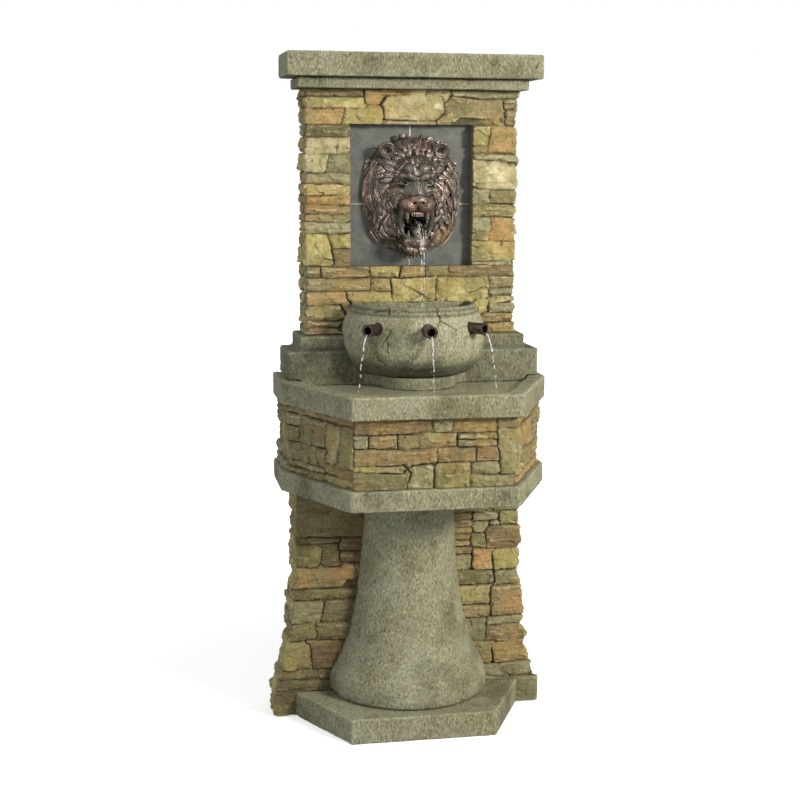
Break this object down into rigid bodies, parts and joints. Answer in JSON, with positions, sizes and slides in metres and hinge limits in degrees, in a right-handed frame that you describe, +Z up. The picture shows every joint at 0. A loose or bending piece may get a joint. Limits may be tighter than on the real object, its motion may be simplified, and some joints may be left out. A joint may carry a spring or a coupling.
{
  "type": "lion head fountain",
  "caption": "Free-standing stone-faced fountain: a lion mask pours into a bowl whose spouts feed a faceted basin on a flared column.",
  "frame": {"origin": "on the floor, at the centre of the footprint's bounding box", "axes": "+Z up, -Y out of the front towards the viewer, +X to the viewer's right"},
  "size_m": [0.608, 0.388, 1.44],
  "materials": {
    "stone_facing": "split stone, matt, ochre to orange-brown",
    "concrete": "cast stone, matt, pitted, grey-green",
    "mortar": "dark recessed mortar, rough",
    "slate": "honed slate, matt",
    "mask_bronze": "antique bronze finish, worn highlights",
    "spout_bronze": "aged bronze, darkened",
    "pipe_brass": "plain drawn tube",
    "hose_rubber": "smooth black hose",
    "clamp_steel": "brushed",
    "pump_plastic": "fine matt",
    "cage_plastic": "fine matt",
    "shaft_steel": "ground pin",
    "magnet": "sintered ferrite",
    "impeller_plastic": "moulded, light",
    "dial_plastic": "moulded, green",
    "foot_rubber": "soft matt",
    "door_plastic": "fine matt, grey",
    "grommet_rubber": "soft matt"
  },
  "bodies": {
    "fountain": {"plinth": "concrete", "column": "concrete", "lower_wall_shell": "mortar", "lower_stones_left": "stone_facing", "lower_stones_right": "stone_facing", "lower_side_stones_left": "stone_facing", "lower_side_stones_right": "stone_facing", "cornice": "concrete", "basin_shell": "mortar", "basin_stones_front": "stone_facing", "basin_stones_left_diagonal": "stone_facing", "basin_stones_right_diagonal": "stone_facing", "basin_stones_left_side": "stone_facing", "basin_stones_right_side": "stone_facing", "basin_rim": "concrete", "step_block": "concrete", "bowl_apron": "concrete", "bowl": "concrete", "spout_left": "spout_bronze", "spout_front": "spout_bronze", "spout_right": "spout_bronze", "upper_wall_shell": "mortar", "upper_stones_front": "stone_facing", "upper_side_stones_left": "stone_facing", "upper_side_stones_right": "stone_facing", "niche_tiles": "slate", "lion_mask": "mask_bronze", "mouth_pipe": "pipe_brass", "cap_moulding": "concrete", "cap_slab": "concrete", "hose": "hose_rubber", "hose_clamps": "clamp_steel", "pump_body": "pump_plastic", "pump_cover": "cage_plastic", "rotor_shaft": "shaft_steel", "pump_feet": "foot_rubber", "lead_grommet": "grommet_rubber"},
    "rotor": {"rotor_magnet": "magnet", "impeller": "impeller_plastic"},
    "dial": {"flow_dial": "dial_plastic"},
    "door": {"access_door": "door_plastic"}
  },
  "joints": [
    {"name": "impeller_spin", "type": "hinge", "parent": "fountain", "child": "rotor", "pos_m": [0, 0.152, 0.61], "axis": [1, 0, 0], "continuous": true},
    {"name": "flow_dial_turn", "type": "hinge", "parent": "fountain", "child": "dial", "pos_m": [0.029, 0.152, 0.61], "axis": [1, 0, 0], "range_deg": [0, 90]},
    {"name": "access_door_pull", "type": "slide", "parent": "fountain", "child": "door", "axis": [0, 1, 0], "range_m": [0, 0.15]}
  ]
}
